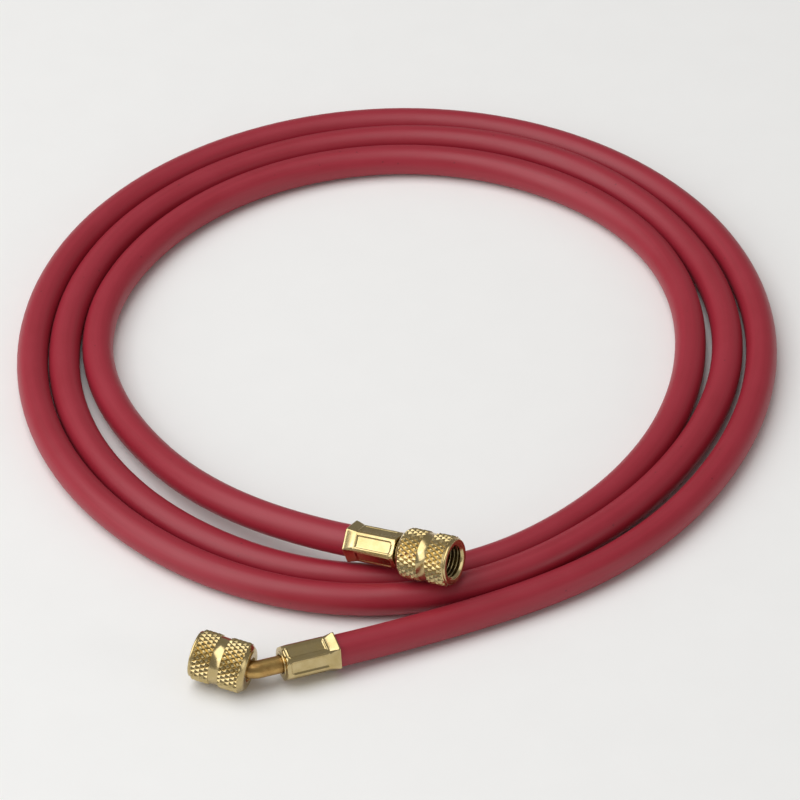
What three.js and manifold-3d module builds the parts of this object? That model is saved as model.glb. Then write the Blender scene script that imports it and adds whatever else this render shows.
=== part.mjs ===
// Refrigerant charging hose: about two metres of red rubber hose lying in three loose turns on the floor,
// with a straight swivel fitting on its inner end and a bent-tube swivel fitting on its outer end.
// Millimetres, +Z up. The origin is on the floor, under the middle of the part's box, and the two
// hose ends lie at the front, towards -Y.

import * as THREE from "three";
import { mergeVertices } from "three/addons/utils/BufferGeometryUtils.js";
import Module from "manifold-3d";

const wasm = await Module();
wasm.setup();

// Clearances between pieces that touch on the real product.
const SEAT_GAP = 0.3;
const SWIVEL_GAP = 0.35;

// Hose: a rubber tube with a bore, squeezed thinner where a ferrule is crimped on it.
const HOSE_OD = 10.2;
const HOSE_BORE = 4.8;
const HOSE_SIDES = 12;
const BORE_SIDES = 8;
const CRIMPED_OD = 8.6;
const CRIMP_TAPER_START = 1.4;
const CRIMP_TAPER_END = 5.5;

// Route of the hose's centre line. It runs clockwise seen from above, and each entry is how far the line
// lies outside the coil's radius and its height above lying flat, one twelfth of a turn after the last.
// The first and the last entry lie beyond the hose's ends and only steer it.
const COIL_CENTRE = [0.9, 18.25];
const COIL_RADIUS = 110;
const FIRST_STATION_DEG = 300;
const STATION_STEP_DEG = 30;
const STATIONS = [
  [51.5, 38.7], [4.8, 13.8], [-9.6, 6.4], [-13.8, 1.3], [-10.5, 0], [-9.9, 0],
  [-8.8, 0], [-7.4, 0], [-7.4, 0], [-9.8, 0], [-14.4, 0], [-14.3, 0],
  [-7.4, 0], [2.9, 0], [3.3, 0], [1.5, 0], [0.4, 0], [0.9, 0],
  [1.7, 0], [3.1, 0.5], [3.2, 1], [0.8, 0], [-2.2, 0], [-3.8, 0.5],
  [3, 2], [13.3, 1], [14.3, 0], [12.2, 0], [10.8, 0], [11.2, 0],
  [12.1, 0], [13.6, 0], [13.6, 0], [11.7, 0], [9, 0], [8.6, 0],
  [14.4, 0], [30, 0.7], [76.8, 5.3],
];
const STRAIGHT_END_DEG = 262;
const ANGLED_END_DEG = 262.3;
const TURNS = 3;
const RING_STEP = 0.5;
const TANGENT_STEP = 0.01;

// Ferrule: a drawn brass shell, crimped on to the hose by a six-sided die.
const FERRULE_LENGTH = 18;
const FERRULE_RIDGE_OD = 11.6;
const FERRULE_ACROSS_FLATS = 10.5;
const FERRULE_LIP_OD = 12.6;
const FERRULE_FLARE_LENGTH = 3.6;
const FERRULE_SHOULDER = 1.3;
const FERRULE_END_WALL = 1.2;
const FERRULE_WALL_AT_LIP = 0.7;
const CRIMP_FLATS = 6;
const CRIMP_DIE_WIDTH = 9;
const STRAIGHT_FLATS_TURN_DEG = -14;
const ANGLED_FLATS_TURN_DEG = 20;

// Swivel nut: turned brass, two knurled bands with a plain groove between them.
const NUT_OD = 16;
const NUT_LENGTH = 18;
const NUT_GROOVE_OD = 15.1;
const NUT_GROOVE_START = 8;
const NUT_GROOVE_WIDTH = 3.1;
const NUT_REAR_OD = 12.4;
const NUT_REAR_CHAMFER = 1.7;
const NUT_COLLAR_LENGTH = 1.3;
const NUT_FACE_OD = 14.2;
const NUT_WEB = 3;
const NUT_REAR_RECESS_DEPTH = 1.8;
const NUT_REAR_RECESS_OD = 7.8;
const THREAD_MINOR = 9.9;
const MOUTH_CHAMFER_OD = 12.2;
const MOUTH_CHAMFER_DEPTH = 0.7;
const NUT_SIDES = 48;

// Stem: the brass tube or turned nipple that joins the hose's bore to the nut's seat.
const STEM_OD = 5.6;
const STEM_BORE = 2.8;
const STEM_TAIL_OD = 4.2;
const STEM_TAIL_DEPTH = 14;
const STEM_HEAD_OD = 9.2;
const STEM_HEAD_THICKNESS = 1.8;
const STEM_SIDES = 24;
const BEND_ANGLE_DEG = 42;
const BEND_RADIUS = 6;
const BEND_RINGS = 6;
const BEND_INTO_NUT = 1.5;
const STRAIGHT_BEFORE_BEND = 6.7;
const BEND_TWIST_DEG = 3;

// Seal and core depressor.
const SEAL_OD = 9.2;
const SEAL_BORE = 3.2;
const SEAL_THICKNESS = 1.6;
const DEPRESSOR_PIN_OD = 1.6;
const DEPRESSOR_REACH = 2.2;
const DEPRESSOR_BAR_WIDTH = 1.2;
const DEPRESSOR_BAR_THICKNESS = 0.9;

const NUT_FIT_GAP = 0.5;

const hoseRed = { color: 0x9c2d3c, roughness: 0.55, metalness: 0 };
const brass = { color: 0xc9a94f, roughness: 0.28, metalness: 1 };
const tubeBrass = { color: 0xb98a45, roughness: 0.32, metalness: 1 };
const blackRubber = { color: 0x1c1b1a, roughness: 0.7, metalness: 0 };

const rad = THREE.MathUtils.degToRad;

// Route

// Control values whose uniform cubic B-spline passes through the chosen values.
function splineControls(values) {
  const controls = [...values];
  for (let pass = 0; pass < 12; pass++) {
    for (let i = 1; i < values.length - 1; i++) {
      const eased = (controls[i - 1] + 4 * controls[i] + controls[i + 1]) / 6;
      controls[i] += values[i] - eased;
    }
  }
  return controls;
}

function splineValue(controls, station) {
  const i = THREE.MathUtils.clamp(Math.floor(station), 1, controls.length - 3);
  const f = station - i;
  const weights = [
    (1 - f) ** 3,
    3 * f ** 3 - 6 * f ** 2 + 4,
    -3 * f ** 3 + 3 * f ** 2 + 3 * f + 1,
    f ** 3,
  ];
  return weights.reduce((sum, w, k) => sum + (w * controls[i - 1 + k]) / 6, 0);
}

const radiusControls = splineControls(STATIONS.map(([outwards]) => COIL_RADIUS + outwards));
const liftControls = splineControls(STATIONS.map(([, lift]) => lift));

function coilPoint(station) {
  const angle = rad(FIRST_STATION_DEG - STATION_STEP_DEG * station);
  const radius = splineValue(radiusControls, station);
  const lift = Math.max(0, splineValue(liftControls, station));
  return new THREE.Vector3(
    COIL_CENTRE[0] + radius * Math.cos(angle),
    COIL_CENTRE[1] + radius * Math.sin(angle),
    HOSE_OD / 2 + lift,
  );
}

const startStation = (FIRST_STATION_DEG - STRAIGHT_END_DEG) / STATION_STEP_DEG;
const endStation = (FIRST_STATION_DEG + 360 * TURNS - ANGLED_END_DEG) / STATION_STEP_DEG;

function facing(station, inner) {
  return coilPoint(station).sub(coilPoint(inner)).normalize();
}

const straightEnd = { lip: coilPoint(startStation), axis: facing(startStation, startStation + TANGENT_STEP) };
const angledEnd = { lip: coilPoint(endStation), axis: facing(endStation, endStation - TANGENT_STEP) };

// The hose's centre line, with a ring on each knot. A negative knot lies that many millimetres inside
// the straight fitting's ferrule, and a knot past the last station lies inside the angled one's.
const insideKnots = [CRIMP_TAPER_START, CRIMP_TAPER_END, FERRULE_LENGTH - FERRULE_END_WALL - SEAT_GAP];

class HoseRoute extends THREE.Curve {
  constructor() {
    super();
    this.knots = insideKnots.map((d) => -d).reverse();
    this.knots.push(startStation);
    for (let s = Math.ceil(startStation / RING_STEP) * RING_STEP; s < endStation; s += RING_STEP) {
      this.knots.push(s);
    }
    this.knots.push(endStation, ...insideKnots.map((d) => endStation + d));
  }

  getPoint(t, target = new THREE.Vector3()) {
    const place = t * (this.knots.length - 1);
    const i = THREE.MathUtils.clamp(Math.floor(place), 0, this.knots.length - 2);
    const [from, to] = [this.knots[i], this.knots[i + 1]];
    if (i < insideKnots.length) {
      const depth = THREE.MathUtils.lerp(-from, i === insideKnots.length - 1 ? 0 : -to, place - i);
      return target.copy(straightEnd.axis).multiplyScalar(depth).add(straightEnd.lip);
    }
    const knot = THREE.MathUtils.lerp(from, to, place - i);
    if (knot > endStation) {
      return target.copy(angledEnd.axis).multiplyScalar(knot - endStation).add(angledEnd.lip);
    }
    return target.copy(coilPoint(knot));
  }

  // Rings stay on the knots, instead of at even lengths.
  getUtoTmapping(u) {
    return u;
  }
}

// Solids

function polygon(diameter, sides) {
  const points = [];
  for (let i = 0; i < sides; i++) {
    const angle = (2 * Math.PI * (i + 0.5)) / sides;
    points.push(new THREE.Vector2(Math.cos(angle), Math.sin(angle)).multiplyScalar(diameter / 2));
  }
  return points;
}

function swept(path, steps, diameter, sides, bore = 0, boreSides = sides) {
  const section = new THREE.Shape(polygon(diameter, sides));
  if (bore) section.holes.push(new THREE.Path(polygon(bore, boreSides)));
  return new THREE.ExtrudeGeometry(section, { steps, extrudePath: path, bevelEnabled: false });
}

// A solid of revolution about +Z from [distance along the axis, diameter] pairs that close on themselves.
function turned(profile, sides) {
  const points = profile.map(([along, diameter]) => new THREE.Vector2(diameter / 2, along));
  points.push(points[0].clone());
  return new THREE.LatheGeometry(points, sides).rotateX(Math.PI / 2);
}

function toManifold(geometry) {
  const bare = geometry.clone();
  for (const name of Object.keys(bare.attributes)) {
    if (name !== "position") bare.deleteAttribute(name);
  }
  const merged = mergeVertices(bare, 1e-4);
  return new wasm.Manifold(
    new wasm.Mesh({
      numProp: 3,
      vertProperties: new Float32Array(merged.attributes.position.array),
      triVerts: new Uint32Array(merged.index.array),
    }),
  );
}

function toGeometry(solid) {
  const mesh = solid.getMesh();
  const geometry = new THREE.BufferGeometry();
  geometry.setAttribute("position", new THREE.BufferAttribute(new Float32Array(mesh.vertProperties), 3));
  geometry.setIndex(new THREE.BufferAttribute(new Uint32Array(mesh.triVerts), 1));
  geometry.computeVertexNormals();
  return geometry;
}

// Hose

// Pulls the outside of the hose in where a ferrule squeezes it.
function crimp(geometry, end) {
  const position = geometry.attributes.position;
  const point = new THREE.Vector3();
  const centre = new THREE.Vector3();
  for (let i = 0; i < position.count; i++) {
    point.fromBufferAttribute(position, i).sub(end.lip);
    const depth = point.dot(end.axis);
    centre.copy(end.axis).multiplyScalar(depth);
    const offset = point.sub(centre);
    const outside = offset.length() > (HOSE_BORE + CRIMPED_OD) / 4 && offset.length() < HOSE_OD / 2 + SEAT_GAP;
    if (outside && depth > CRIMP_TAPER_END - SEAT_GAP && depth < FERRULE_LENGTH) {
      offset.setLength(CRIMPED_OD / 2).add(centre).add(end.lip);
      position.setXYZ(i, offset.x, offset.y, offset.z);
    }
  }
}

function hoseGeometry() {
  const route = new HoseRoute();
  const geometry = swept(route, route.knots.length - 1, HOSE_OD, HOSE_SIDES, HOSE_BORE, BORE_SIDES);
  crimp(geometry, straightEnd);
  crimp(geometry, angledEnd);
  return geometry;
}

// Fittings. Each piece of a fitting is made about +Z, with the hose's end at the ferrule's lip, z = 0.

function ferruleGeometry() {
  const end = FERRULE_LENGTH;
  const flareEnd = FERRULE_FLARE_LENGTH;
  const cavity = CRIMPED_OD + 2 * SEAT_GAP;
  const cavityAtLip = FERRULE_LIP_OD - 2 * FERRULE_WALL_AT_LIP;
  const shell = turned(
    [
      [0, cavityAtLip],
      [0, FERRULE_LIP_OD],
      [flareEnd, FERRULE_RIDGE_OD],
      [end - FERRULE_SHOULDER, FERRULE_RIDGE_OD],
      [end - FERRULE_SHOULDER / 3, FERRULE_RIDGE_OD - FERRULE_SHOULDER * 0.8],
      [end, FERRULE_RIDGE_OD - FERRULE_SHOULDER * 2],
      [end, STEM_OD + 2 * SEAT_GAP],
      [end - FERRULE_END_WALL, STEM_OD + 2 * SEAT_GAP],
      [end - FERRULE_END_WALL, cavity],
      [CRIMP_TAPER_END + SEAT_GAP, cavity],
      [CRIMP_TAPER_START + SEAT_GAP, cavityAtLip],
    ],
    NUT_SIDES,
  );
  let solid = toManifold(shell);
  const flat = FERRULE_ACROSS_FLATS / 2;
  const clear = FERRULE_LIP_OD;
  const die = new THREE.Shape([
    new THREE.Vector2(clear, flareEnd / 3),
    new THREE.Vector2((FERRULE_LIP_OD + FERRULE_ACROSS_FLATS) / 4 + SEAT_GAP, flareEnd / 3),
    new THREE.Vector2(flat, flareEnd * 1.2),
    new THREE.Vector2(flat, end - FERRULE_SHOULDER),
    new THREE.Vector2(flat + 2 * FERRULE_SHOULDER, end + FERRULE_SHOULDER),
    new THREE.Vector2(clear, end + FERRULE_SHOULDER),
  ]);
  for (let i = 0; i < CRIMP_FLATS; i++) {
    const press = new THREE.ExtrudeGeometry(die, { depth: CRIMP_DIE_WIDTH, bevelEnabled: false })
      .translate(0, 0, -CRIMP_DIE_WIDTH / 2)
      .rotateX(Math.PI / 2)
      .rotateZ((2 * Math.PI * i) / CRIMP_FLATS);
    solid = solid.subtract(toManifold(press));
  }
  return toGeometry(solid);
}

// The nut, from its rear face at z = 0 to its mouth.
function nutGeometry() {
  const grooveEnd = NUT_GROOVE_START + NUT_GROOVE_WIDTH;
  const rearHole = STEM_OD + 2 * SWIVEL_GAP;
  return turned(
    [
      [0, NUT_REAR_RECESS_OD],
      [0, NUT_REAR_OD],
      [NUT_REAR_CHAMFER * 0.35, NUT_REAR_OD + (NUT_OD - NUT_REAR_OD) * 0.55],
      [NUT_REAR_CHAMFER, NUT_OD],
      [NUT_GROOVE_START, NUT_OD],
      [NUT_GROOVE_START, NUT_GROOVE_OD],
      [grooveEnd, NUT_GROOVE_OD],
      [grooveEnd, NUT_OD],
      [NUT_LENGTH - NUT_COLLAR_LENGTH, NUT_OD],
      [NUT_LENGTH - NUT_COLLAR_LENGTH * 0.4, NUT_FACE_OD + (NUT_OD - NUT_FACE_OD) * 0.5],
      [NUT_LENGTH, NUT_FACE_OD],
      [NUT_LENGTH, MOUTH_CHAMFER_OD],
      [NUT_LENGTH - MOUTH_CHAMFER_DEPTH, THREAD_MINOR],
      [NUT_REAR_RECESS_DEPTH + NUT_WEB, THREAD_MINOR],
      [NUT_REAR_RECESS_DEPTH + NUT_WEB, rearHole],
      [NUT_REAR_RECESS_DEPTH, rearHole],
    ],
    NUT_SIDES,
  );
}

// Where the stem's head, the seal and the nut lie along the nut's axis.
const headStart = NUT_REAR_RECESS_DEPTH + NUT_WEB + SEAT_GAP;
const headEnd = headStart + STEM_HEAD_THICKNESS;
const sealStart = headEnd + SEAT_GAP;
const tailStart = FERRULE_LENGTH - FERRULE_END_WALL - STEM_TAIL_DEPTH;
const tailEnd = FERRULE_LENGTH - FERRULE_END_WALL;

function straightStemGeometry(nutRear) {
  return turned(
    [
      [tailStart, STEM_BORE],
      [tailStart, STEM_TAIL_OD],
      [tailEnd, STEM_TAIL_OD],
      [tailEnd, STEM_OD],
      [nutRear + headStart, STEM_OD],
      [nutRear + headStart, STEM_HEAD_OD],
      [nutRear + headEnd, STEM_HEAD_OD],
      [nutRear + headEnd, STEM_BORE],
    ],
    STEM_SIDES,
  );
}

// Centre line of the bent tube, about +Z and bending towards +X, from one plain length to the other.
class BentTube extends THREE.Curve {
  constructor(start, end) {
    super();
    this.start = start;
    this.lengths = [bendStart - start, end];
  }

  getPoint(t, target = new THREE.Vector3()) {
    const steps = BEND_RINGS + 2;
    const place = t * steps;
    const bend = rad(BEND_ANGLE_DEG);
    if (place <= 1) {
      return target.set(0, 0, this.start + place * this.lengths[0]);
    }
    const turn = Math.min((place - 1) / BEND_RINGS, 1) * bend;
    target.set(BEND_RADIUS * (1 - Math.cos(turn)), 0, bendStart + BEND_RADIUS * Math.sin(turn));
    const past = Math.max(0, place - 1 - BEND_RINGS) * this.lengths[1];
    return target.add(new THREE.Vector3(Math.sin(bend) * past, 0, Math.cos(bend) * past));
  }

  getUtoTmapping(u) {
    return u;
  }
}

const bendStart = FERRULE_LENGTH + STRAIGHT_BEFORE_BEND;

// Frame of the angled nut: its rear face, and the direction it faces, in the fitting's own frame.
function angledNutPlace() {
  const bend = rad(BEND_ANGLE_DEG);
  const direction = new THREE.Vector3(Math.sin(bend), 0, Math.cos(bend));
  const bendEnd = new THREE.Vector3(
    BEND_RADIUS * (1 - Math.cos(bend)),
    0,
    bendStart + BEND_RADIUS * Math.sin(bend),
  );
  return { direction, rear: bendEnd.addScaledVector(direction, -BEND_INTO_NUT) };
}

function angledStemGeometry() {
  const { direction, rear } = angledNutPlace();
  const toHead = headStart - BEND_INTO_NUT + STEM_HEAD_THICKNESS;
  const overshoot = STEM_HEAD_OD;
  const tube = toManifold(swept(new BentTube(tailEnd, toHead), BEND_RINGS + 2, STEM_OD, STEM_SIDES));
  const tail = toManifold(
    turned([[tailStart, 0], [tailStart, STEM_TAIL_OD], [bendStart, STEM_TAIL_OD], [bendStart, 0]], STEM_SIDES),
  );
  const headDisc = turned(
    [[headStart, 0], [headStart, STEM_HEAD_OD], [headEnd, STEM_HEAD_OD], [headEnd, 0]],
    STEM_SIDES,
  );
  headDisc.applyMatrix4(placeMatrix(rear, direction));
  const bore = toManifold(
    swept(new BentTube(tailStart - overshoot, toHead + overshoot), BEND_RINGS + 2, STEM_BORE, STEM_SIDES / 2),
  );
  return toGeometry(tube.add(tail).add(toManifold(headDisc)).subtract(bore));
}

function sealGeometry() {
  return turned(
    [
      [sealStart, SEAL_BORE],
      [sealStart, SEAL_OD],
      [sealStart + SEAL_THICKNESS, SEAL_OD],
      [sealStart + SEAL_THICKNESS, SEAL_BORE],
    ],
    NUT_SIDES,
  );
}

// The pin that opens a valve core, on a bar across the seal.
function depressorGeometry() {
  const base = sealStart + SEAL_THICKNESS + SEAT_GAP;
  const pin = toManifold(
    turned(
      [
        [base, 0],
        [base, DEPRESSOR_PIN_OD],
        [base + DEPRESSOR_REACH, DEPRESSOR_PIN_OD],
        [base + DEPRESSOR_REACH, 0],
      ],
      STEM_SIDES,
    ),
  );
  const bar = new THREE.BoxGeometry(THREAD_MINOR - 2 * SEAT_GAP, DEPRESSOR_BAR_WIDTH, DEPRESSOR_BAR_THICKNESS)
    .translate(0, 0, base + DEPRESSOR_BAR_THICKNESS / 2);
  return toGeometry(pin.add(toManifold(bar)));
}

// Placing

function placeMatrix(position, direction, across = new THREE.Vector3(1, 0, 0)) {
  const z = direction.clone().normalize();
  const x = across.clone().addScaledVector(z, -across.dot(z)).normalize();
  const y = new THREE.Vector3().crossVectors(z, x);
  return new THREE.Matrix4().makeBasis(x, y, z).setPosition(position);
}

function piece(name, geometry, finish) {
  const mesh = new THREE.Mesh(geometry, new THREE.MeshStandardMaterial(finish));
  mesh.name = name;
  return mesh;
}

function fittingGroup(end, across) {
  const group = new THREE.Group();
  placeMatrix(end.lip, end.axis, across).decompose(group.position, group.quaternion, group.scale);
  return group;
}

const up = new THREE.Vector3(0, 0, 1);

function straightFitting() {
  const group = fittingGroup(straightEnd, up);
  const nutRear = FERRULE_LENGTH + NUT_FIT_GAP;
  const swivel = new THREE.Group();
  swivel.position.z = nutRear;
  swivel.add(piece("nut_straight", nutGeometry(), brass), piece("seal_straight", sealGeometry(), blackRubber));
  group.add(
    piece("ferrule_straight", ferruleGeometry().rotateZ(rad(STRAIGHT_FLATS_TURN_DEG)), brass),
    piece("stem_straight", straightStemGeometry(nutRear), tubeBrass),
    swivel,
  );
  return group;
}

function angledFitting() {
  const sideways = new THREE.Vector3().crossVectors(angledEnd.axis, up).normalize();
  const tilt = rad(BEND_TWIST_DEG);
  const lifted = new THREE.Vector3().crossVectors(sideways, angledEnd.axis);
  const bendTowards = sideways.multiplyScalar(Math.cos(tilt)).addScaledVector(lifted, Math.sin(tilt));
  const group = fittingGroup(angledEnd, bendTowards);
  const { direction, rear } = angledNutPlace();
  const swivel = new THREE.Group();
  placeMatrix(rear, direction).decompose(swivel.position, swivel.quaternion, swivel.scale);
  swivel.add(
    piece("nut_angled", nutGeometry(), brass),
    piece("seal_angled", sealGeometry(), blackRubber),
    piece("core_depressor", depressorGeometry(), brass),
  );
  group.add(
    piece("ferrule_angled", ferruleGeometry().rotateZ(rad(ANGLED_FLATS_TURN_DEG)), brass),
    piece("stem_angled", angledStemGeometry(), tubeBrass),
    swivel,
  );
  return group;
}

const chargingHose = new THREE.Group();
chargingHose.add(piece("hose", hoseGeometry(), hoseRed), straightFitting(), angledFitting());

export default chargingHose;
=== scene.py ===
import math

import bmesh
import bpy
from mathutils import Matrix, Vector


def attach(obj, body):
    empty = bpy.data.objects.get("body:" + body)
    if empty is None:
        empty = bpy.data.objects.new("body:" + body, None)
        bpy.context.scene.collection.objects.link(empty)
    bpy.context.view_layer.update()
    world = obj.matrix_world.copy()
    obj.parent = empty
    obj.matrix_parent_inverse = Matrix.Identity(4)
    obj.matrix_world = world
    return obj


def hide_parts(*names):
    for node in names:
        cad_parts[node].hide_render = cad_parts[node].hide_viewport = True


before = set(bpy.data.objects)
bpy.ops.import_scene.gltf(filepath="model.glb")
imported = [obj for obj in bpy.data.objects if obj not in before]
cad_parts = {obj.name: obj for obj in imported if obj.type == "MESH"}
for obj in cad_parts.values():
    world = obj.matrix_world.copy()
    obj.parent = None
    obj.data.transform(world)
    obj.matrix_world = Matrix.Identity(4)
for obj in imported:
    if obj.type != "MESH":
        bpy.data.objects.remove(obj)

bl_info = {
    "name": "Refrigerant Charging Hose",
    "version": (1, 0, 0),
    "blender": (4, 5, 0),
    "location": "3D View > Sidebar > Charging Hose",
    "description": "A red rubber charging hose lying in three turns, with brass swivel fittings",
    "category": "Mesh",
}

MM = 0.001
UP = Vector((0, 0, 1))
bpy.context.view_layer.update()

# Route of the hose's centre line: how far it lies outside the coil's radius and its height above lying
# flat, in millimetres, one entry for each twelfth of a turn. It runs clockwise seen from above. The first
# and the last entry lie beyond the hose's ends and only steer it.
COIL_CENTRE = (0.9, 18.25)
COIL_RADIUS = 110
FIRST_STATION_DEG = 300
STATION_STEP_DEG = 30
STATIONS = [
    (51.5, 38.7), (4.8, 13.8), (-9.6, 6.4), (-13.8, 1.3), (-10.5, 0), (-9.9, 0),
    (-8.8, 0), (-7.4, 0), (-7.4, 0), (-9.8, 0), (-14.4, 0), (-14.3, 0),
    (-7.4, 0), (2.9, 0), (3.3, 0), (1.5, 0), (0.4, 0), (0.9, 0),
    (1.7, 0), (3.1, 0.5), (3.2, 1), (0.8, 0), (-2.2, 0), (-3.8, 0.5),
    (3, 2), (13.3, 1), (14.3, 0), (12.2, 0), (10.8, 0), (11.2, 0),
    (12.1, 0), (13.6, 0), (13.6, 0), (11.7, 0), (9, 0), (8.6, 0),
    (14.4, 0), (30, 0.7), (76.8, 5.3),
]
STRAIGHT_END_DEG = 262
ANGLED_END_DEG = 262.3
TURNS = 3
RINGS_PER_STATION = 12
SPLINE_PASSES = 12
TANGENT_STEP = 0.01

# Sizes shared with the solids, in millimetres.
HOSE_OD = 10.2
HOSE_BORE = 4.8
CRIMPED_OD = 8.6
FERRULE_LENGTH = 18
NUT_FIT_GAP = 0.5
STEM_OD = 5.6
STEM_HEAD_OD = 9.2
STEM_BORE = 2.8
FERRULE_END_WALL = 1.2
FIT_GAP = 0.3
BEND_ANGLE_DEG = 42
BEND_RADIUS = 6
BEND_INTO_NUT = 1.5
STRAIGHT_BEFORE_BEND = 6.7
BEND_TWIST_DEG = 3
STRAIGHT_FLATS_TURN_DEG = -14
ANGLED_FLATS_TURN_DEG = 20

# The photograph was taken from the front, 40 degrees above the floor, with a long lens.
CAMERA_AIM = Vector((0.9, -1.75, 0)) * MM
CAMERA_DISTANCE = 1.7533
CAMERA_ELEVATION_DEG = 40
LENS_MM = 241.3


# Route

def spline_controls(values):
    """Control values whose uniform cubic B-spline passes through the chosen values."""
    controls = list(values)
    for _ in range(SPLINE_PASSES):
        for i in range(1, len(values) - 1):
            reached = (controls[i - 1] + 4 * controls[i] + controls[i + 1]) / 6
            controls[i] += values[i] - reached
    return controls


def spline_value(controls, station):
    """Value of the uniform cubic B-spline at a station, which may lie between two of its controls."""
    i = min(max(math.floor(station), 1), len(controls) - 3)
    f = station - i
    weights = ((1 - f) ** 3, 3 * f**3 - 6 * f**2 + 4, -3 * f**3 + 3 * f**2 + 3 * f + 1, f**3)
    return sum(w * controls[i - 1 + k] / 6 for k, w in enumerate(weights))


RADIUS_CONTROLS = spline_controls([COIL_RADIUS + outwards for outwards, _ in STATIONS])
LIFT_CONTROLS = spline_controls([lift for _, lift in STATIONS])
START_STATION = (FIRST_STATION_DEG - STRAIGHT_END_DEG) / STATION_STEP_DEG
END_STATION = (FIRST_STATION_DEG + 360 * TURNS - ANGLED_END_DEG) / STATION_STEP_DEG


def coil_point(station):
    """Point of the hose's centre line, resting on the floor or lifted off it."""
    angle = math.radians(FIRST_STATION_DEG - STATION_STEP_DEG * station)
    radius = spline_value(RADIUS_CONTROLS, station)
    lift = max(0, spline_value(LIFT_CONTROLS, station))
    return Vector((
        COIL_CENTRE[0] + radius * math.cos(angle),
        COIL_CENTRE[1] + radius * math.sin(angle),
        HOSE_OD / 2 + lift,
    ))


def place(position, direction, across):
    """Matrix, in millimetres, that puts local +Z along direction and local +X near across."""
    z = direction.normalized()
    x = (across - z * across.dot(z)).normalized()
    y = z.cross(x)
    turn = Matrix((x, y, z)).transposed().to_4x4()
    return Matrix.Translation(position) @ turn


def fitting_frames():
    """Local frames of the two fittings, with the hose's end at z = 0, and of their nuts' rear faces."""
    straight_lip = coil_point(START_STATION)
    straight_axis = (straight_lip - coil_point(START_STATION + TANGENT_STEP)).normalized()
    straight = place(straight_lip, straight_axis, UP)

    angled_lip = coil_point(END_STATION)
    angled_axis = (angled_lip - coil_point(END_STATION - TANGENT_STEP)).normalized()
    sideways = angled_axis.cross(UP).normalized()
    lifted = sideways.cross(angled_axis)
    tilt = math.radians(BEND_TWIST_DEG)
    angled = place(angled_lip, angled_axis, sideways * math.cos(tilt) + lifted * math.sin(tilt))

    straight_nut = straight @ Matrix.Translation((0, 0, FERRULE_LENGTH + NUT_FIT_GAP))
    bend = math.radians(BEND_ANGLE_DEG)
    start = FERRULE_LENGTH + STRAIGHT_BEFORE_BEND
    bend_end = Vector((BEND_RADIUS * (1 - math.cos(bend)), 0, start + BEND_RADIUS * math.sin(bend)))
    direction = Vector((math.sin(bend), 0, math.cos(bend)))
    rear = bend_end - direction * BEND_INTO_NUT
    angled_nut = angled @ Matrix.Translation(rear) @ Matrix.Rotation(bend, 4, "Y")
    return {
        "straight": straight,
        "angled": angled,
        "straight_nut": straight_nut,
        "angled_nut": angled_nut,
    }


FRAMES = fitting_frames()


# Mesh helpers

# Points closer together than this, in millimetres, are one.
WELD_DISTANCE = 0.001


def spin_profile(bm, profile, steps, pitch=0.0):
    """Spins [radius, height] points once round Z. With a pitch the surface climbs as a screw thread does."""
    verts = [bm.verts.new((radius, 0, height)) for radius, height in profile]
    edges = [bm.edges.new(pair) for pair in zip(verts, verts[1:])]
    bmesh.ops.spin(
        bm, geom=verts + edges, cent=(0, 0, 0), axis=(0, 0, 1), dvec=(0, 0, pitch / steps),
        angle=2 * math.pi, steps=steps, use_merge=pitch == 0, use_normal_flip=False, use_duplicate=False)


def weld(bm):
    """Merges the points that a spin leaves on top of each other."""
    bmesh.ops.remove_doubles(bm, verts=bm.verts[:], dist=WELD_DISTANCE)


def clamped(share):
    return max(0.0, min(1.0, share))


def eased(share):
    """A share held between 0 and 1, with a soft start and end."""
    share = clamped(share)
    return share * share * (3 - 2 * share)


def crease(bm, degrees):
    """Smooth faces, with the edges sharper than the angle left hard."""
    limit = math.radians(degrees)
    for face in bm.faces:
        face.smooth = True
    for edge in bm.edges:
        if len(edge.link_faces) == 2 and edge.calc_face_angle(0) > limit:
            edge.smooth = False


def finish_piece(bm, name, matrix, material, body, replaced):
    """Keeps where each point was made as an attribute, places the mesh in metres and ties it to the frame."""
    layer = bm.verts.layers.float_vector.get("made_at") or bm.verts.layers.float_vector.new("made_at")
    for vert in bm.verts:
        if vert[layer].length == 0:
            vert[layer] = vert.co
    bm.transform(Matrix.Scale(MM, 4) @ matrix)
    mesh = bpy.data.meshes.new(name)
    bm.to_mesh(mesh)
    bm.free()
    mesh.materials.append(material)
    piece = bpy.data.objects.new(name, mesh)
    bpy.context.scene.collection.objects.link(piece)
    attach(piece, body)
    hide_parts(replaced)
    return piece


# Materials

def linear(code):
    """Linear RGBA from an sRGB hex code."""
    def channel(value):
        value /= 255
        return value / 12.92 if value <= 0.04045 else ((value + 0.055) / 1.055) ** 2.4
    return (*(channel(int(code[i:i + 2], 16)) for i in (1, 3, 5)), 1.0)


def add_node(tree, kind, inputs=None, **settings):
    """Adds a node with its settings, and links or sets its inputs."""
    made = tree.nodes.new(kind)
    for key, value in settings.items():
        setattr(made, key, value)
    for key, value in (inputs or {}).items():
        if isinstance(value, bpy.types.NodeSocket):
            tree.links.new(value, made.inputs[key])
        else:
            made.inputs[key].default_value = value
    return made


def new_material(name):
    """An empty material with one shader, and the tree and shader that its function fills in."""
    material = bpy.data.materials.new(name)
    material.use_nodes = True
    tree = material.node_tree
    tree.nodes.clear()
    shader = tree.nodes.new("ShaderNodeBsdfPrincipled")
    output = tree.nodes.new("ShaderNodeOutputMaterial")
    tree.links.new(shader.outputs["BSDF"], output.inputs["Surface"])
    return material, tree, shader


def made_at_mm(tree):
    """Where each point of a piece was made, in millimetres, with Z along the piece's axis."""
    return add_node(tree, "ShaderNodeAttribute", attribute_name="made_at").outputs["Vector"]


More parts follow.
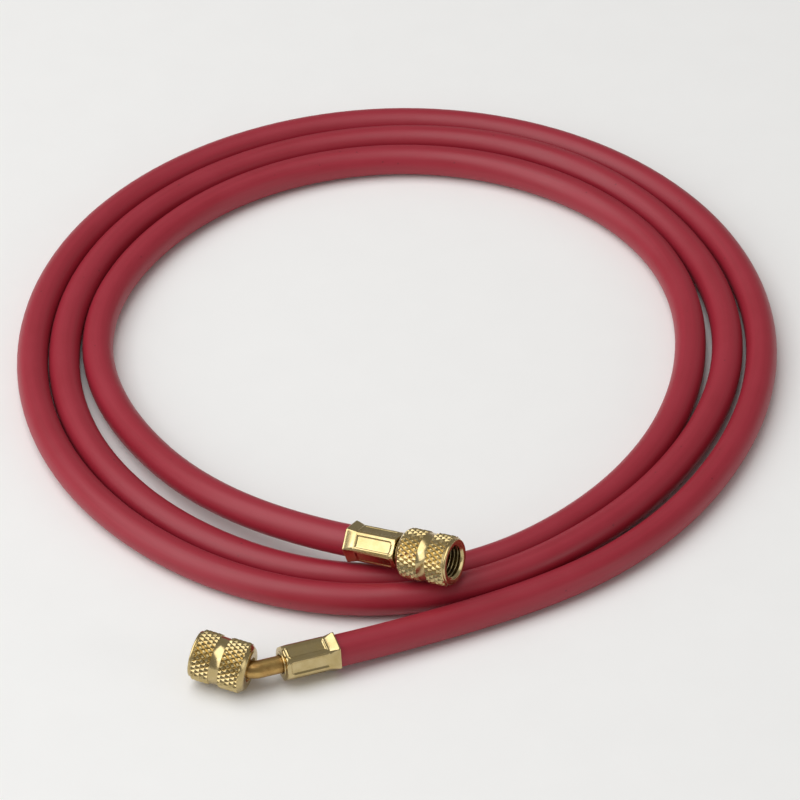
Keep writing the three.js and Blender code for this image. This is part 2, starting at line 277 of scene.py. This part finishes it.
def stretched(tree, vector, scale):
    """The vector with each axis scaled by itself, for a pattern that runs along a piece or round it."""
    return add_node(tree, "ShaderNodeMapping", {"Vector": vector, "Scale": scale}).outputs["Vector"]


def noise(tree, vector, scale, detail, roughness):
    inputs = {"Vector": vector, "Scale": scale, "Detail": detail, "Roughness": roughness}
    return add_node(tree, "ShaderNodeTexNoise", inputs).outputs["Fac"]


def two_tone(tree, factor, dark, light, start=0.0, end=1.0):
    """Blends linear colours from dark, where the factor is at start, to light, where it is at end."""
    ramp = add_node(tree, "ShaderNodeValToRGB", {"Fac": factor})
    for stop, position, colour in zip(ramp.color_ramp.elements, (start, end), (dark, light)):
        stop.position = position
        stop.color = colour
    return ramp.outputs["Color"]


def mixed(tree, factor, first, second, data_type):
    mix = add_node(
        tree, "ShaderNodeMix", {"Factor": factor, "A": first, "B": second}, data_type=data_type)
    return mix.outputs["Result"]


def set_roughness(tree, shader, factor, at_low, at_high):
    """Ties roughness to a noise, whose middle range is 0.3 to 0.7."""
    gloss = add_node(
        tree, "ShaderNodeMapRange",
        {"Value": factor, "From Min": 0.3, "From Max": 0.7, "To Min": at_low, "To Max": at_high})
    tree.links.new(gloss.outputs["Result"], shader.inputs["Roughness"])


def set_bump(tree, shader, height, strength, depth_mm):
    bump = add_node(
        tree, "ShaderNodeBump", {"Height": height, "Strength": strength, "Distance": depth_mm * MM})
    tree.links.new(bump.outputs["Normal"], shader.inputs["Normal"])


def extruded_nitrile(settings):
    """Extruded nitrile hose cover: satin red, faintly streaked along its length, with a fine bloom."""
    material, tree, shader = new_material("extruded_nitrile_rubber_red")
    made_at = made_at_mm(tree)
    # Streaks left by the extruder's die, about 1.5 mm apart and 60 mm long.
    streaks = noise(tree, stretched(tree, made_at, (0.7, 0.7, 0.016)), 1.0, 3.0, 0.55)
    streaked = two_tone(tree, streaks, settings.hose_shade, settings.hose_colour, 0.35, 0.68)
    # Bloom comes and goes over about 15 mm.
    bloom = noise(tree, made_at, 0.065, 4.0, 0.6)
    bloomed = mixed(tree, bloom, streaked, settings.hose_bloom, "RGBA")
    # Specks, about 0.5 mm across and a centimetre apart.
    cells = add_node(
        tree, "ShaderNodeTexVoronoi", {"Vector": made_at, "Scale": 0.16, "Randomness": 1.0}, feature="F1")
    speck = add_node(
        tree, "ShaderNodeMapRange",
        {"Value": cells.outputs["Distance"], "From Min": 0.03, "From Max": 0.07,
         "To Min": 0.75, "To Max": 0.0})
    base = mixed(tree, speck.outputs["Result"], bloomed, settings.hose_speck, "RGBA")
    tree.links.new(base, shader.inputs["Base Color"])
    set_roughness(tree, shader, bloom, 0.4, 0.5)
    # Fine orange-peel of the cover, about 0.6 mm, over the die streaks.
    peel = noise(tree, made_at, 1.6, 3.0, 0.6)
    set_bump(tree, shader, mixed(tree, 0.45, peel, streaks, "FLOAT"), 0.25, 0.12)
    shader.inputs["Sheen Weight"].default_value = 0.04
    shader.inputs["Sheen Roughness"].default_value = 0.4
    shader.inputs["Sheen Tint"].default_value = linear("#F0B6BE")
    return material


def turned_brass(settings):
    """Free-cutting brass, turned and left bright: mirror-like, with fine rings round the axis."""
    material, tree, shader = new_material("turned_free_cutting_brass")
    made_at = made_at_mm(tree)
    # Handling tarnish in patches of about 5 mm.
    tarnish = noise(tree, made_at, 0.2, 4.0, 0.6)
    tint = two_tone(tree, tarnish, settings.brass_shade, settings.brass_colour, 0.3, 0.7)
    tree.links.new(tint, shader.inputs["Base Color"])
    set_roughness(tree, shader, tarnish, 0.26, 0.17)
    # Turning marks about 0.12 mm apart are too fine to show, so they are drawn 0.3 mm apart.
    rings = noise(tree, stretched(tree, made_at, (0.06, 0.06, 3.3)), 1.0, 2.0, 0.5)
    set_bump(tree, shader, rings, 0.2, 0.04)
    shader.inputs["Metallic"].default_value = 1.0
    return material


def drawn_brass_tube(settings):
    """Drawn brass tube, heat-darkened where it was bent: redder than the turned parts, drawn lengthwise."""
    material, tree, shader = new_material("drawn_red_brass_tube")
    made_at = made_at_mm(tree)
    # Heat stains of about 2 mm.
    stain = noise(tree, made_at, 0.45, 5.0, 0.6)
    tint = two_tone(tree, stain, settings.tube_shade, settings.tube_colour, 0.32, 0.66)
    tree.links.new(tint, shader.inputs["Base Color"])
    set_roughness(tree, shader, stain, 0.42, 0.27)
    # Drawing marks run lengthwise, about 0.25 mm apart and 6 mm long.
    marks = noise(tree, stretched(tree, made_at, (4.0, 4.0, 0.16)), 1.0, 4.0, 0.65)
    set_bump(tree, shader, marks, 0.35, 0.06)
    shader.inputs["Metallic"].default_value = 1.0
    return material


def moulded_neoprene():
    """Moulded neoprene washer: dull black."""
    material, tree, shader = new_material("moulded_neoprene_black")
    # Grain of about 0.5 mm. Object coordinates are in metres.
    place_in = add_node(tree, "ShaderNodeTexCoord").outputs["Object"]
    grain = noise(tree, place_in, 1800.0, 3.0, 0.6)
    tint = two_tone(tree, grain, linear("#141312"), linear("#2B2826"))
    tree.links.new(tint, shader.inputs["Base Color"])
    set_bump(tree, shader, grain, 0.3, 0.05)
    shader.inputs["Roughness"].default_value = 0.62
    return material


def studio_paper():
    """Matt seamless paper sweep, nearly white."""
    material, tree, shader = new_material("seamless_paper_white")
    # Faint cloudiness over about 17 mm.
    place_in = add_node(tree, "ShaderNodeTexCoord").outputs["Object"]
    fibre = noise(tree, place_in, 60.0, 3.0, 0.5)
    tint = two_tone(tree, fibre, linear("#F4F4F3"), linear("#F7F7F6"))
    tree.links.new(tint, shader.inputs["Base Color"])
    shader.inputs["Roughness"].default_value = 0.9
    shader.inputs["Specular IOR Level"].default_value = 0.2
    return material


# Pieces

def hose_bmesh(outer, bore, sides):
    """A round tube swept along the route, drawn in where each ferrule squeezes it, and open at its bore."""
    # Depth in a ferrule and radius there: squeezed from the hose's end, and round again near the lip.
    in_ferrule = ((16.5, CRIMPED_OD / 2), (5.5, CRIMPED_OD / 2), (1.4, outer / 2))
    rings = [(FRAMES["straight"] @ Vector((0, 0, depth)), radius) for depth, radius in in_ferrule]
    count = round((END_STATION - START_STATION) * RINGS_PER_STATION)
    stations = [START_STATION + (END_STATION - START_STATION) * i / count for i in range(count + 1)]
    rings += [(coil_point(station), outer / 2) for station in stations]
    rings += [(FRAMES["angled"] @ Vector((0, 0, depth)), radius) for depth, radius in reversed(in_ferrule)]
    path = [centre for centre, _ in rings]

    bm = bmesh.new()
    made_at = bm.verts.layers.float_vector.new("made_at")
    for widths in ([radius for _, radius in rings], [bore / 2] * len(rings)):
        across = UP
        along = 0.0
        for i, centre in enumerate(path):
            ahead = path[min(i + 1, len(path) - 1)] - path[max(i - 1, 0)]
            frame_here = place(centre, ahead, across)
            across = frame_here.col[0].to_3d()
            if i == 0:
                loop = bmesh.ops.create_circle(bm, cap_ends=False, segments=sides, radius=1)["verts"]
                edges = list({edge for vert in loop for edge in vert.link_edges})
            else:
                along += (centre - path[i - 1]).length
                grown = bmesh.ops.extrude_edge_only(bm, edges=edges)["geom"]
                loop = [item for item in grown if isinstance(item, bmesh.types.BMVert)]
                edges = [item for item in grown if isinstance(item, bmesh.types.BMEdge)
                         and all(vert in loop for vert in item.verts)]
                bmesh.ops.transform(bm, matrix=last.inverted(), verts=loop)
            for vert in loop:
                vert[made_at] = (vert.co.x * widths[i], vert.co.y * widths[i], along)
            last = frame_here @ Matrix.Diagonal((widths[i], widths[i], 1, 1))
            bmesh.ops.transform(bm, matrix=last, verts=loop)
    open_edges = [edge for edge in bm.edges if edge.is_boundary]
    for end in (path[0], path[-1]):
        rims = [edge for edge in open_edges if all((vert.co - end).length < outer for vert in edge.verts)]
        bmesh.ops.bridge_loops(bm, edges=rims)
    bmesh.ops.recalc_face_normals(bm, faces=bm.faces[:])
    crease(bm, degrees=50)
    return bm, path


def ferrule_bmesh(across_flats, ridge, lip, panel_depth, turn_degrees):
    """A drawn cup squeezed by a six-sided die, with a sunk panel on each flat and a flared, cornered lip."""
    length = FERRULE_LENGTH
    flat = math.radians(60)
    steps = 6 * 36
    sheet = 0.5
    lip_inside, lip_wall_end = lip / 2 - sheet, 2.0
    hose_hole, tube_hole = CRIMPED_OD / 2 + FIT_GAP, STEM_OD / 2 + FIT_GAP
    flare_start, flare_end, flare_power = 0.4, 3.6, 1.5
    corner_end, corner_fade = 3.3, 2.6
    ridge_rounding = 0.28
    body_end = 16.9
    panel_start, panel_end, half_panel = 3.95, 16.2, 2.08
    panel_rounding, panel_slope = 0.9, 0.32
    bead_height, bead_half_width, bead_offset = 0.09, 0.3, 0.14
    slack = 0.1

    outer = [(lip / 2 - 0.22, 0.0), (lip / 2 - 0.06, 0.06), (lip / 2, 0.2)]
    # The body's rings lie close together where the lip flares and at both ends of the panels.
    levels = [0.45, 0.75, 1.1, 1.5, 1.9, 2.3, 2.7, 3.1, 3.4, 3.55, 3.65, 3.8, 3.95, 4.05, 4.15, 4.3, 4.6]
    levels += [5.2 + 0.8 * i for i in range(13)]
    levels += [15.1, 15.3, 15.5, 15.65, 15.8, 15.95, 16.05, 16.15, 16.3, 16.6, body_end]
    body = [(lip / 2, level) for level in levels]
    shoulder = [
        (ridge / 2 - 0.08, 17.1), (ridge / 2 - 0.28, 17.32), (ridge / 2 - 0.62, 17.5),
        (ridge / 2 - 1.05, 17.62)]
    neck = [
        (4.32, 17.68), (4.16, 17.7), (4.08, 17.76), (4.05, 17.86), (3.95, 17.96), (3.8, length),
        (tube_hole + 0.12, length), (tube_hole, length - 0.12)]
    inside = [
        (tube_hole, length - FERRULE_END_WALL), (hose_hole, length - FERRULE_END_WALL), (hose_hole, 5.8),
        (lip_inside, 1.9), (lip_inside, 1.0), (lip_inside, 0.1), (lip_inside + 0.08, 0.0),
        (lip / 2 - 0.22, 0.0)]
    bm = bmesh.new()
    spin_profile(bm, outer + body + shoulder + neck + inside, steps)
    weld(bm)

    def squeezed(level, off):
        """Radius of the squeezed shell: flat over each die face, round over each ridge, flared to the lip."""
        opening = clamped((flare_end - level) / (flare_end - flare_start)) ** flare_power
        wall = across_flats / 2 + (lip / 2 * math.cos(flat / 2) - across_flats / 2) * opening
        wall /= math.cos(off)
        limit = ridge / 2 + (lip / 2 - ridge / 2) * clamped((corner_end - level) / corner_fade)
        blend = clamped(0.5 + (wall - limit) / (2 * ridge_rounding))
        return wall * (1 - blend) + limit * blend - ridge_rounding * blend * (1 - blend)

    for vert in bm.verts:
        radius = math.hypot(vert.co.x, vert.co.y)
        level = vert.co.z
        off = (math.atan2(vert.co.y, vert.co.x) + flat / 2) % flat - flat / 2
        inside_lip = level < lip_wall_end and radius < lip_inside + slack
        inside_hose_hole = level < length - FERRULE_END_WALL / 2 and radius < hose_hole + slack / 2
        if inside_lip:
            shaped = squeezed(level, off) - sheet + (radius - lip_inside)
        elif inside_hose_hole:
            continue
        elif level > body_end:
            shaped = min(radius, squeezed(level, off))
        else:
            shaped = squeezed(level, off) - (lip / 2 - radius)
            aside = half_panel - abs(math.tan(off)) * across_flats / 2
            ahead = panel_end - level
            inset = min(aside, ahead, level - panel_start)
            if aside < panel_rounding and ahead < panel_rounding:
                inset = panel_rounding - math.hypot(panel_rounding - aside, panel_rounding - ahead)
            # The metal stands up in a small bead round the sunk panel.
            shaped += bead_height * eased(1 - abs(inset + bead_offset) / bead_half_width)
            shaped -= panel_depth * eased(inset / panel_slope)
        vert.co.x *= shaped / radius
        vert.co.y *= shaped / radius
    bmesh.ops.rotate(
        bm, verts=bm.verts[:], cent=(0, 0, 0), matrix=Matrix.Rotation(math.radians(turn_degrees), 3, "Z"))
    bmesh.ops.recalc_face_normals(bm, faces=bm.faces[:])
    crease(bm, degrees=40)
    return bm


def absorb(bm, other):
    """Adds another bmesh's geometry to this one."""
    carried = bpy.data.meshes.new("carried")
    other.to_mesh(carried)
    other.free()
    bm.from_mesh(carried)
    bpy.data.meshes.remove(carried)


def cut_between(bm, low, high):
    """Keeps what lies between two heights."""
    for level, normal in ((low, (0, 0, -1)), (high, (0, 0, 1))):
        bmesh.ops.bisect_plane(
            bm, geom=bm.verts[:] + bm.edges[:] + bm.faces[:], dist=1e-5,
            plane_co=(0, 0, level), plane_no=normal, clear_outer=True)


def knurled_band(tip, low, high, knurls, depth, row, flat_top):
    """A sleeve of diamond knurl. Every other point of a grid is pressed in, and the pressed points are
    joined by the grooves that cross between them, which leaves a pyramid round each of the others. The
    flat top is the share of each pyramid's faces that its worn point takes."""
    apex = tip - depth + depth / (1 - flat_top)
    rows = math.ceil((high - low) / row) + 2
    first = (low + high - row * rows) / 2
    bm = bmesh.new()
    spin_profile(bm, [(apex, first + row * i) for i in range(rows + 1)], 2 * knurls)
    weld(bm)
    pressed, points = [], []
    for vert in bm.verts:
        line = round((vert.co.z - first) / row)
        column = round(math.atan2(vert.co.y, vert.co.x) / math.pi * knurls)
        if (line + column) % 2 == 0:
            pressed.append(vert)
        elif 0 < line < rows:
            points.append(vert)
    for vert in pressed:
        vert.co.x *= (tip - depth) / apex
        vert.co.y *= (tip - depth) / apex
    bmesh.ops.connect_verts(bm, verts=pressed)
    bmesh.ops.bevel(
        bm, geom=points, offset=100 * flat_top, offset_type="PERCENT", segments=1, profile=0.5,
        affect="VERTICES", material=-1)
    cut_between(bm, low, high)
    return bm


def thread_bmesh(steps, low, high):
    """The 7/16-20 thread, 60 degrees and 1.27 mm in pitch, opened by the mouth's countersink."""
    pitch, crest, root = 1.27, 4.95, 5.55
    flank = (crest + root) / 2
    first_crest, threads = 6.2, 10
    countersink_radius, countersink_height, countersink_slope = 5.7, 17.9, 1.5
    one_turn = [(crest, 0), (crest, 0.3), (flank, 0.5), (root, 0.7), (root, 0.86), (flank, 1.07)]
    screw = [(radius, first_crest + height + pitch * k) for k in range(threads)
             for radius, height in one_turn]
    bm = bmesh.new()
    spin_profile(bm, screw, steps, pitch)
    weld(bm)
    for vert in bm.verts:
        radius = math.hypot(vert.co.x, vert.co.y)
        countersink = countersink_radius - (countersink_height - vert.co.z) * countersink_slope
        if radius < countersink:
            vert.co.x *= countersink / radius
            vert.co.y *= countersink / radius
    cut_between(bm, low, high)
    return bm


def bridge_rims(bm, low, high, inner, outer):
    """Joins the two open rims that lie between two heights and two radii."""
    rims = [edge for edge in bm.edges if edge.is_boundary
            and all(low < vert.co.z < high and inner < math.hypot(vert.co.x, vert.co.y) < outer
                    for vert in edge.verts)]
    bmesh.ops.bridge_loops(bm, edges=rims)


def nut_bmesh(nut_od, knurls, knurl_depth):
    """A turned nut: two bands of diamond knurl, a plain groove, a lipped mouth and a screw thread in it."""
    steps = 4 * knurls
    tip = nut_od / 2
    bands = ((1.7, 7.95), (11.2, 16.7))
    mouth = [
        (5.62, 17.86), (5.72, 17.91), (6.1, 18.0), (6.95, 18.0), (7.14, 17.95), (7.26, 17.82), (7.3, 17.6),
        (7.3, 17.45), (7.22, 17.34), (7.2, 17.26), (7.26, 17.18), (7.44, 17.1), (7.55, 16.98)]
    groove = [(7.56, 11.15), (7.52, 11.08), (7.52, 8.08), (7.56, 8.0)]
    rear = [
        (7.66, 1.48), (7.36, 1.1), (7.05, 0.74), (6.74, 0.42), (6.34, 0.16), (5.9, 0.02), (5.7, 0.0),
        (4.15, 0.0), (3.97, 0.06), (3.88, 0.22), (3.26, 1.7), (3.15, 1.9), (3.15, 4.8), (5.0, 4.8),
        (5.0, 7.3)]
    bm = bmesh.new()
    for strip in (mouth, groove, rear):
        spin_profile(bm, strip, steps)
    weld(bm)
    for low, high in bands:
        absorb(bm, knurled_band(tip, low, high, knurls, knurl_depth, row=1.47, flat_top=0.26))
    absorb(bm, thread_bmesh(steps, low=7.6, high=17.8))

    # The turned strips, the bands and the thread end in open rims, two between each pair of heights.
    for low, high in ((7.1, 7.7), (17.75, 17.88)):
        bridge_rims(bm, low, high, inner=4, outer=6.1)
    for low, high in ((1.4, 1.8), (7.9, 8.02), (11.12, 11.25), (16.65, 17.0)):
        bridge_rims(bm, low, high, inner=7, outer=9)
    bmesh.ops.recalc_face_normals(bm, faces=bm.faces[:])
    crease(bm, degrees=34)
    # The diamonds' faces are flat. Nothing else lies this far out within the bands.
    knurl_floor = tip - knurl_depth - 0.1
    for face in bm.faces:
        centre = face.calc_center_median()
        in_band = any(low < centre.z < high for low, high in bands)
        if in_band and math.hypot(centre.x, centre.y) > knurl_floor:
            face.smooth = False
    return bm


def angled_stem_bmesh():
    """The tube: a plain length out of the ferrule, the bend, and the head that the nut pulls on."""
    sides, straight_steps, bend_steps = 40, 4, 14
    head_past_bend = 5.1 - BEND_INTO_NUT
    head_thickness, bore_depth = 1.8, 6
    bend = math.radians(BEND_ANGLE_DEG)
    start = FERRULE_LENGTH - FERRULE_END_WALL
    bend_start = FERRULE_LENGTH + STRAIGHT_BEFORE_BEND
    bm = bmesh.new()
    made_at = bm.verts.layers.float_vector.new("made_at")
    ring = bmesh.ops.create_circle(
        bm, cap_ends=False, segments=sides, radius=STEM_OD / 2, matrix=Matrix.Translation((0, 0, start)))
    edges = list({edge for vert in ring["verts"] for edge in vert.link_edges})
    for vert in ring["verts"]:
        vert[made_at] = vert.co
    in_ferrule = edges

    def grown(edges, along, move=(0, 0, 0), spread=1.0, centre=None, turn=0.0):
        """Extrudes a ring, then turns, moves and widens it, and notes how far along the tube it lies."""
        made = bmesh.ops.extrude_edge_only(bm, edges=edges)["geom"]
        verts = [item for item in made if isinstance(item, bmesh.types.BMVert)]
        if turn:
            bmesh.ops.rotate(bm, verts=verts, cent=centre, matrix=Matrix.Rotation(turn, 3, "Y"))
        bmesh.ops.translate(bm, verts=verts, vec=move)
        if spread != 1.0:
            middle = sum((vert.co for vert in verts), Vector()) / len(verts)
            for vert in verts:
                vert.co = middle + (vert.co - middle) * spread
        for vert in verts:
            vert[made_at] = (vert[made_at][0], vert[made_at][1], along)
        return [item for item in made if isinstance(item, bmesh.types.BMEdge)
                and all(vert in verts for vert in item.verts)]

    run = bend_start - start
    for step in range(1, straight_steps + 1):
        edges = grown(edges, start + run * step / straight_steps, move=(0, 0, run / straight_steps))
    hub = Vector((BEND_RADIUS, 0, bend_start))
    arc = BEND_RADIUS * bend
    for step in range(1, bend_steps + 1):
        edges = grown(edges, bend_start + arc * step / bend_steps, centre=hub, turn=bend / bend_steps)
    direction = Vector((math.sin(bend), 0, math.cos(bend)))
    head = bend_start + arc + head_past_bend
    edges = grown(edges, head, move=direction * head_past_bend)
    edges = grown(edges, head, spread=STEM_HEAD_OD / STEM_OD)
    edges = grown(edges, head + head_thickness, move=direction * head_thickness)
    edges = grown(edges, head + head_thickness, spread=STEM_BORE / STEM_HEAD_OD)
    edges = grown(edges, head + head_thickness - bore_depth, move=direction * -bore_depth)
    bmesh.ops.holes_fill(bm, edges=edges, sides=sides)
    bmesh.ops.holes_fill(bm, edges=in_ferrule, sides=sides)
    bmesh.ops.recalc_face_normals(bm, faces=bm.faces[:])
    crease(bm, degrees=40)
    return bm


# Settings that a user would change

def colour_property(name, description, code):
    return bpy.props.FloatVectorProperty(
        name=name, description=description, default=linear(code), size=4, min=0.0, max=1.0, subtype="COLOR")


class ChargingHoseSettings(bpy.types.PropertyGroup):
    hose_diameter: bpy.props.FloatProperty(
        name="Hose diameter", description="Outside diameter of the rubber hose", default=HOSE_OD * MM,
        min=0.004, max=0.03, precision=4, unit="LENGTH", subtype="DISTANCE")
    hose_bore: bpy.props.FloatProperty(
        name="Hose bore", description="Inside diameter of the rubber hose", default=HOSE_BORE * MM,
        min=0.002, max=0.02, precision=4, unit="LENGTH", subtype="DISTANCE")
    hose_sides: bpy.props.IntProperty(
        name="Hose sides", description="Faces round the hose", default=28, min=12, max=64)
    nut_diameter: bpy.props.FloatProperty(
        name="Nut diameter", description="Diameter over the knurl's tips", default=0.016,
        min=0.01, max=0.03, precision=4, unit="LENGTH", subtype="DISTANCE")
    knurls: bpy.props.IntProperty(
        name="Knurls", description="Diamonds round each knurled band", default=29, min=16, max=60)
    knurl_depth: bpy.props.FloatProperty(
        name="Knurl depth", description="Depth of the knurl's grooves", default=0.0005,
        min=0.0001, max=0.001, precision=5, unit="LENGTH", subtype="DISTANCE")
    across_flats: bpy.props.FloatProperty(
        name="Across flats", description="Size of the crimped ferrule between opposite flats",
        default=0.0105, min=0.009, max=0.012, precision=4, unit="LENGTH", subtype="DISTANCE")
    ridge_diameter: bpy.props.FloatProperty(
        name="Ridge diameter", description="Size of the crimped ferrule over its ridges",
        default=0.0116, min=0.009, max=0.013, precision=4, unit="LENGTH", subtype="DISTANCE")
    lip_diameter: bpy.props.FloatProperty(
        name="Lip diameter", description="Size of the ferrule's flared lip over its corners",
        default=0.0134, min=0.01, max=0.015, precision=4, unit="LENGTH", subtype="DISTANCE")
    panel_depth: bpy.props.FloatProperty(
        name="Panel depth", description="How far the die sank the middle of each flat",
        default=0.0003, min=0.0, max=0.0005, precision=5, unit="LENGTH", subtype="DISTANCE")
    floor_width: bpy.props.FloatProperty(
        name="Floor width", description="Width of the paper floor", default=6.0,
        min=1.0, max=20.0, unit="LENGTH", subtype="DISTANCE")
    hose_colour: colour_property("Hose colour", "Rubber between the extruder's streaks", "#9C2031")
    hose_shade: colour_property("Hose shade", "Rubber in the extruder's streaks", "#8F1B29")
    hose_bloom: colour_property("Hose bloom", "Rubber where it has bloomed", "#A02537")
    hose_speck: colour_property("Hose specks", "Small dark specks on the rubber", "#6C1521")
    brass_colour: colour_property("Brass colour", "Clean turned brass", "#CBB88A")
    brass_shade: colour_property("Brass shade", "Turned brass where it is tarnished", "#BBA570")
    tube_colour: colour_property("Tube colour", "Clean drawn brass tube", "#C9A767")
    tube_shade: colour_property("Tube shade", "Brass tube where heat has stained it", "#A9834E")


class CHARGINGHOSE_OT_stage(bpy.types.Operator):
    """Adds the paper floor, the soft lights and the camera"""
    bl_idname = "charging_hose.stage"
    bl_label = "Stage"

    def execute(self, context):
        settings = context.scene.charging_hose
        bm = bmesh.new()
        bmesh.ops.create_grid(bm, x_segments=1, y_segments=1, size=settings.floor_width / 2)
        mesh = bpy.data.meshes.new("paper_floor")
        bm.to_mesh(mesh)
        bm.free()
        mesh.materials.append(studio_paper())
        floor = bpy.data.objects.new("paper_floor", mesh)
        context.scene.collection.objects.link(floor)

        world = bpy.data.worlds.new("soft_studio")
        world.use_nodes = True
        background = world.node_tree.nodes["Background"]
        background.inputs["Color"].default_value = linear("#EFEDEA")
        background.inputs["Strength"].default_value = 0.33
        context.scene.world = world
        boxes = (
            ("softbox_top", (-0.85, -0.15, 2.2), 2.4, 40),
            ("softbox_left", (-1.65, -0.72, 0.95), 1.35, 11),
            ("reflector_right", (1.6, -0.9, 0.5), 0.9, 3),
        )
        for name, position, width, watts in boxes:
            light = bpy.data.lights.new(name, "AREA")
            light.shape = "SQUARE"
            light.size = width
            light.energy = watts
            lamp = bpy.data.objects.new(name, light)
            lamp.location = position
            lamp.rotation_euler = (-Vector(position)).to_track_quat("-Z", "Y").to_euler()
            context.scene.collection.objects.link(lamp)

        lens = bpy.data.cameras.new("camera")
        lens.lens = LENS_MM
        lens.sensor_width = 36
        lens.sensor_fit = "HORIZONTAL"
        lens.clip_end = 20
        camera = bpy.data.objects.new("camera", lens)
        rise = math.radians(CAMERA_ELEVATION_DEG)
        away = Vector((0, -math.cos(rise), math.sin(rise))) * CAMERA_DISTANCE
        camera.location = CAMERA_AIM + away
        camera.rotation_euler = (-away).to_track_quat("-Z", "Y").to_euler()
        context.scene.collection.objects.link(camera)
        context.scene.camera = camera
        context.scene.view_settings.view_transform = "Standard"
        return {"FINISHED"}


class CHARGINGHOSE_OT_ferrules(bpy.types.Operator):
    """Adds the two crimped brass ferrules"""
    bl_idname = "charging_hose.ferrules"
    bl_label = "Ferrules"

    def execute(self, context):
        settings = context.scene.charging_hose
        brass = turned_brass(settings)
        for end, turn in (("straight", STRAIGHT_FLATS_TURN_DEG), ("angled", ANGLED_FLATS_TURN_DEG)):
            bm = ferrule_bmesh(
                settings.across_flats / MM, settings.ridge_diameter / MM, settings.lip_diameter / MM,
                settings.panel_depth / MM, turn)
            finish_piece(
                bm, f"crimped_ferrule_{end}", FRAMES[end], brass, "hose_assembly", f"ferrule_{end}")
        return {"FINISHED"}


class CHARGINGHOSE_OT_nuts(bpy.types.Operator):
    """Adds the two knurled swivel nuts"""
    bl_idname = "charging_hose.nuts"
    bl_label = "Swivel nuts"

    def execute(self, context):
        settings = context.scene.charging_hose
        brass = turned_brass(settings)
        for end in ("straight", "angled"):
            bm = nut_bmesh(settings.nut_diameter / MM, settings.knurls, settings.knurl_depth / MM)
            finish_piece(
                bm, f"knurled_nut_{end}", FRAMES[f"{end}_nut"], brass, f"{end}_nut", f"nut_{end}")
        return {"FINISHED"}


class CHARGINGHOSE_OT_stems(bpy.types.Operator):
    """Adds the bent tube and finishes the straight stem, the seals and the core depressor"""
    bl_idname = "charging_hose.stems"
    bl_label = "Stems and seals"

    def execute(self, context):
        settings = context.scene.charging_hose
        tube = drawn_brass_tube(settings)
        finish_piece(
            angled_stem_bmesh(), "bent_tube", FRAMES["angled"], tube, "hose_assembly", "stem_angled")
        neoprene = moulded_neoprene()
        brass = turned_brass(settings)
        finishes = {
            "stem_straight": tube,
            "seal_straight": neoprene,
            "seal_angled": neoprene,
            "core_depressor": brass,
        }
        for name, material in finishes.items():
            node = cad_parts[name]
            node.data.materials.clear()
            node.data.materials.append(material)
        return {"FINISHED"}


class CHARGINGHOSE_OT_hose(bpy.types.Operator):
    bl_idname = "charging_hose.hose"
    bl_label = "Hose"

    def execute(self, context):
        settings = context.scene.charging_hose
        bm, path = hose_bmesh(settings.hose_diameter / MM, settings.hose_bore / MM, settings.hose_sides)
        hose = finish_piece(
            bm, "rubber_hose", Matrix.Identity(4), extruded_nitrile(settings), "hose_assembly", "hose")
        return {"FINISHED"}


class CHARGINGHOSE_PT_sidebar(bpy.types.Panel):
    """Lists the hose's sizes and its pieces"""
    bl_idname = "CHARGINGHOSE_PT_sidebar"
    bl_label = "Charging Hose"
    bl_space_type = "VIEW_3D"
    bl_region_type = "UI"
    bl_category = "Charging Hose"

    def draw(self, context):
        settings = context.scene.charging_hose
        for name in ChargingHoseSettings.__annotations__:
            self.layout.prop(settings, name)
        for operator in OPERATORS:
            self.layout.operator(operator.bl_idname)


OPERATORS = (
    CHARGINGHOSE_OT_stage,
    CHARGINGHOSE_OT_ferrules,
    CHARGINGHOSE_OT_nuts,
    CHARGINGHOSE_OT_stems,
    CHARGINGHOSE_OT_hose,
)
CLASSES = (ChargingHoseSettings, *OPERATORS, CHARGINGHOSE_PT_sidebar)


def register():
    for cls in CLASSES:
        bpy.utils.register_class(cls)
    bpy.types.Scene.charging_hose = bpy.props.PointerProperty(type=ChargingHoseSettings)


def unregister():
    del bpy.types.Scene.charging_hose
    for cls in reversed(CLASSES):
        bpy.utils.unregister_class(cls)


def main():
    register()
    bpy.ops.charging_hose.stage()
    bpy.ops.charging_hose.ferrules()
    bpy.ops.charging_hose.nuts()
    bpy.ops.charging_hose.stems()
    bpy.ops.charging_hose.hose()


if __name__ == "__main__":
    main()
